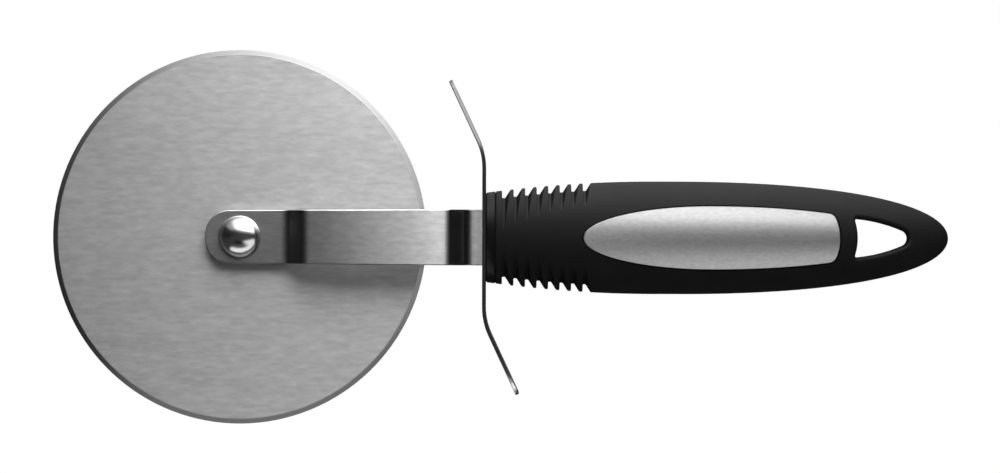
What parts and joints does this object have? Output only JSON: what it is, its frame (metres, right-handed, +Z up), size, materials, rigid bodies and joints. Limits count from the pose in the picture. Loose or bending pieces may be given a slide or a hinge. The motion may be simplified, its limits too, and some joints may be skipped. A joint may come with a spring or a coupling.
{
  "type": "pizza cutter",
  "caption": "Pizza cutter: brushed steel wheel turning freely on a riveted stepped arm, S-shaped finger guard, and black ribbed soft-grip handle with steel inlays and a hanging hole.",
  "frame": {"origin": "middle of the handle's length on its long axis, where a hand holds it", "axes": "+X along the handle from the wheel to the tail, +Y along the axle from the arm's side to the rear, +Z up with the wheel upright"},
  "size_m": [0.2396, 0.022, 0.1],
  "materials": {
    "wheel_steel": "straight brushed stainless steel",
    "nylon": "natural nylon",
    "polished_steel": "polished stainless steel",
    "arm_steel": "satin stainless steel",
    "guard_steel": "satin stainless steel",
    "hard_plastic": "black moulded plastic",
    "rivet_aluminium": "plain",
    "grip_rubber": "soft matte black",
    "inlay_steel": "lengthwise brushed stainless steel"
  },
  "bodies": {
    "handle": {"front_washer": "nylon", "rear_washer": "nylon", "axle_rivet": "polished_steel", "rivet_cap": "polished_steel", "wheel_arm": "arm_steel", "finger_guard": "guard_steel", "front_collar": "hard_plastic", "core_front": "hard_plastic", "core_back": "hard_plastic", "tang_rivets": "rivet_aluminium", "soft_grip": "grip_rubber", "front_inlay": "inlay_steel", "rear_inlay": "inlay_steel"},
    "wheel": {"cutting_wheel": "wheel_steel"}
  },
  "joints": [
    {"name": "wheel_spin", "type": "hinge", "parent": "handle", "child": "wheel", "pos_m": [-0.12775, 0, 0], "axis": [0, 1, 0], "continuous": true}
  ]
}
